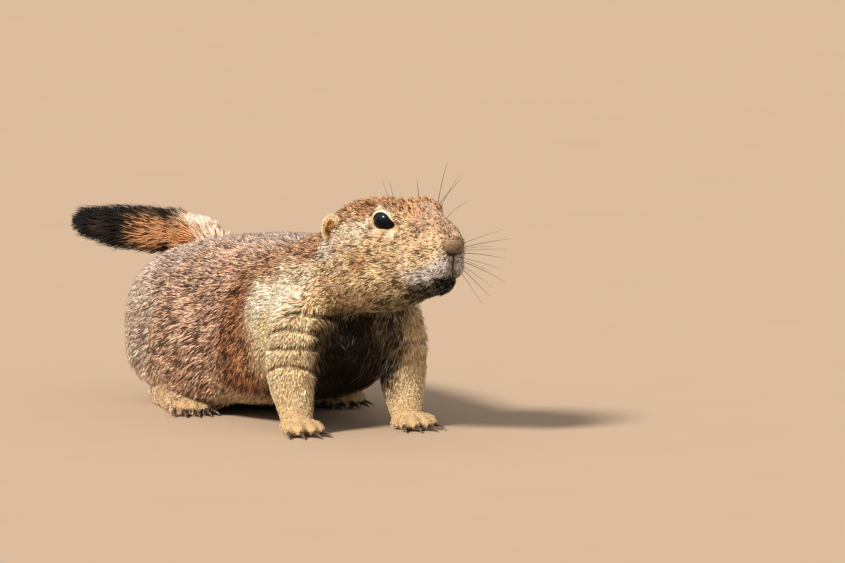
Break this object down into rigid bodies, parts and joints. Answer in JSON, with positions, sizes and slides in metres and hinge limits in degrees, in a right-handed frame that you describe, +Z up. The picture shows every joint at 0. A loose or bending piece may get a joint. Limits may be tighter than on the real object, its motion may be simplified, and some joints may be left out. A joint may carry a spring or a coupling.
{
  "type": "prairie dog figure",
  "caption": "Life-size crouching prairie dog, head turned to its left, tail held out level, standing on all four flat soles.",
  "frame": {"origin": "centre of the bounding box on the floor that the feet rest on", "axes": "+X the way the chest faces, +Y the animal's left, +Z up"},
  "size_m": [0.3154, 0.1102, 0.1293],
  "materials": {
    "face_fur": "short straw-brown fur, greyer on the crown",
    "throat_fur": "cream to golden fur",
    "back_fur": "grizzled grey-brown fur",
    "flank_fur": "reddish brown fur flecked dark and pale",
    "leg_fur": "short ochre fur",
    "tail_fur": "orange fur with a cream edge and a black brush at the tip",
    "ear_fur": "thin ear, orange-brown inside with a pale rim",
    "eye": "wet black eye",
    "nose_skin": "tan nose with a fine nap",
    "claw_horn": "dark horn, satin"
  },
  "bodies": {
    "root": {"belly": "flank_fur", "chest": "back_fur", "claw_fore_left_1": "claw_horn", "claw_fore_left_2": "claw_horn", "claw_fore_left_3": "claw_horn", "claw_fore_left_4": "claw_horn", "claw_fore_right_1": "claw_horn", "claw_fore_right_2": "claw_horn", "claw_fore_right_3": "claw_horn", "claw_fore_right_4": "claw_horn", "claw_hind_left_1": "claw_horn", "claw_hind_left_2": "claw_horn", "claw_hind_left_3": "claw_horn", "claw_hind_left_4": "claw_horn", "claw_hind_left_5": "claw_horn", "claw_hind_right_1": "claw_horn", "claw_hind_right_2": "claw_horn", "claw_hind_right_3": "claw_horn", "claw_hind_right_4": "claw_horn", "claw_hind_right_5": "claw_horn", "ear_left": "ear_fur", "ear_right": "ear_fur", "eye_left": "eye", "eye_right": "eye", "forearm_left": "leg_fur", "forearm_right": "leg_fur", "forefoot_left": "leg_fur", "forefoot_right": "leg_fur", "head": "face_fur", "hindfoot_left": "leg_fur", "hindfoot_right": "leg_fur", "neck": "throat_fur", "nose": "nose_skin", "rump": "flank_fur", "tail": "tail_fur", "thigh_left": "flank_fur", "thigh_right": "flank_fur", "upper_arm_left": "leg_fur", "upper_arm_right": "leg_fur"}
  },
  "joints": []
}
